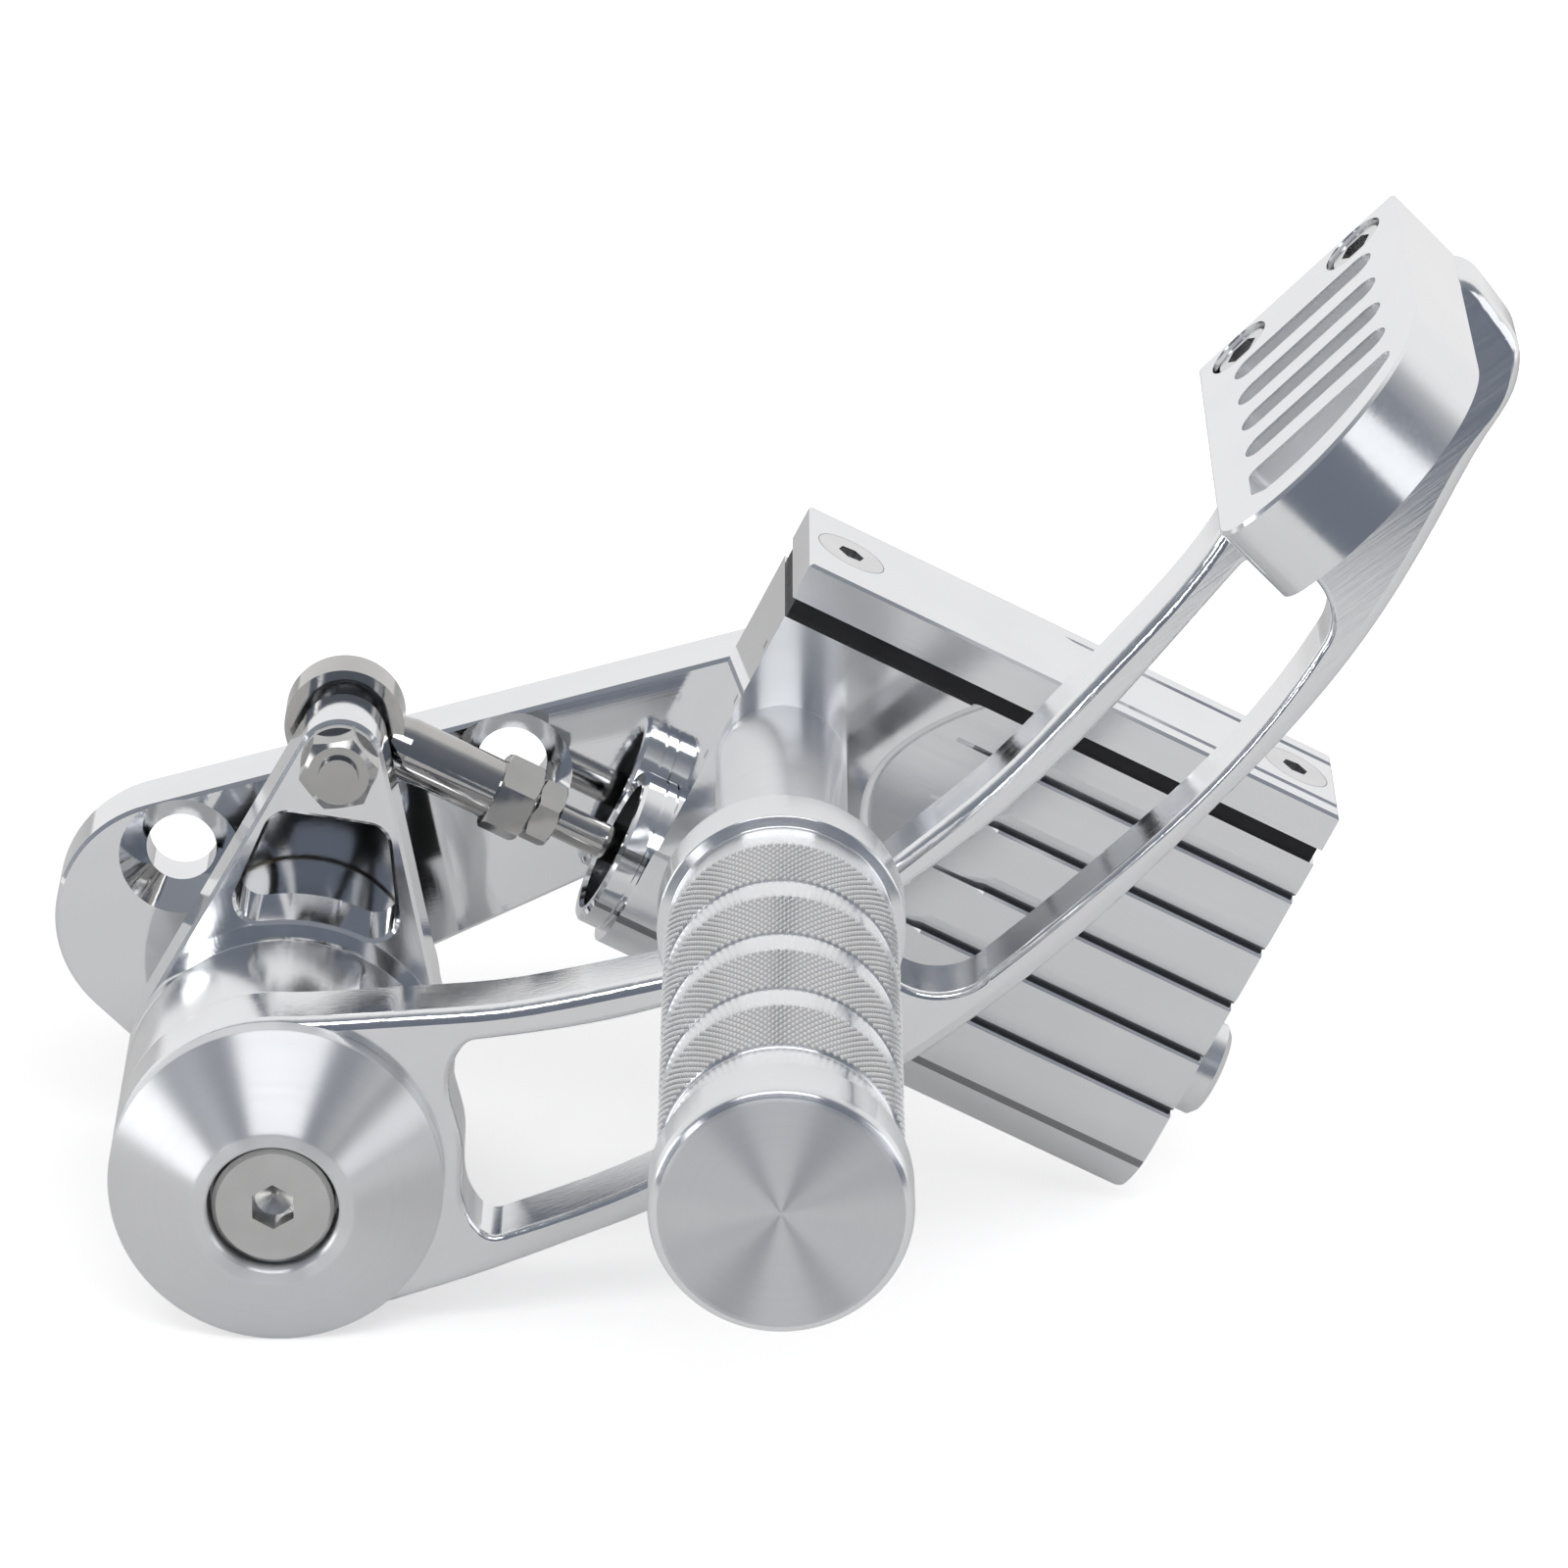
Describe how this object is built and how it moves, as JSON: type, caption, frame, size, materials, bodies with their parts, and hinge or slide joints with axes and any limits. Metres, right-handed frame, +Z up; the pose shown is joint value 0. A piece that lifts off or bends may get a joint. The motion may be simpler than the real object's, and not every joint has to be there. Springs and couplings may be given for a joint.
{
  "type": "motorcycle forward brake control",
  "caption": "Billet aluminium forward brake control: mounting plate with hydraulic master cylinder, knurled foot peg, and a long curved pedal arm with slotted toe pad.",
  "frame": {"origin": "midway between the two mounting bolts, on the back face of the mounting plate", "axes": "+Y inboard, square to the plate's back face; -Y outboard, along the foot peg; +Z up; +X from the pivot towards the toe pad"},
  "size_m": [0.2319, 0.2186, 0.1843],
  "materials": {
    "billet_aluminium": "polished, lightly brushed",
    "turned_aluminium": "fine turned, satin",
    "knurled_aluminium": "knurled bands with polished grooves",
    "stainless_steel": "satin stainless",
    "hardened_steel": "ground",
    "black_rubber": "matte",
    "bronze": "plain turned"
  },
  "bodies": {
    "base": {"mounting_plate": "billet_aluminium", "housing_screws": "stainless_steel", "housing": "billet_aluminium", "reservoir_lid": "billet_aluminium", "diaphragm": "black_rubber", "lid_screws": "stainless_steel", "peg_sleeve": "knurled_aluminium", "peg_post": "turned_aluminium", "peg_bolt": "stainless_steel", "pivot_shaft": "hardened_steel", "thrust_washers": "bronze", "pivot_cap": "turned_aluminium", "pivot_bolt": "stainless_steel", "circlip": "hardened_steel", "stop_washer": "hardened_steel", "return_spring": "hardened_steel"},
    "pedal": {"pivot_bushes": "bronze", "crank_lever": "billet_aluminium", "pivot_hub": "turned_aluminium", "pedal_arm": "billet_aluminium", "hub_screws": "stainless_steel", "dowel_pins": "hardened_steel", "toe_pad": "billet_aluminium", "toe_pad_screws": "stainless_steel", "rod_end_ball": "hardened_steel", "link_spacer": "stainless_steel", "link_bolt": "stainless_steel", "link_nut": "stainless_steel"},
    "pushrod_link": {"rod_end_body": "stainless_steel", "rod_end_race": "stainless_steel", "jam_nut": "stainless_steel", "pushrod": "stainless_steel"},
    "piston": {"piston": "turned_aluminium", "primary_cup": "black_rubber", "secondary_seal": "black_rubber"}
  },
  "joints": [
    {"name": "pedal_pivot", "type": "hinge", "parent": "base", "child": "pedal", "pos_m": [-0.00835, -0.06, -0.0345], "axis": [0, 1, 0], "range_deg": [0, 12], "stiffness_Nm_per_rad": 6, "springref_deg": -14.32},
    {"name": "rod_end_pivot", "type": "hinge", "parent": "pedal", "child": "pushrod_link", "pos_m": [0.0009, -0.0246, 0.0211], "axis": [0, 1, 0], "range_deg": [-9.8, 0]},
    {"name": "piston_slide", "type": "slide", "parent": "base", "child": "piston", "axis": [0.891, 0, -0.454], "range_m": [0, 0.01151], "deforming": ["return_spring"]}
  ],
  "couplings": [
    {"joint": "rod_end_pivot", "follows": "pedal_pivot", "ratio": -0.8121},
    {"joint": "piston_slide", "follows": "pedal_pivot", "m_per_rad": 0.0549}
  ]
}
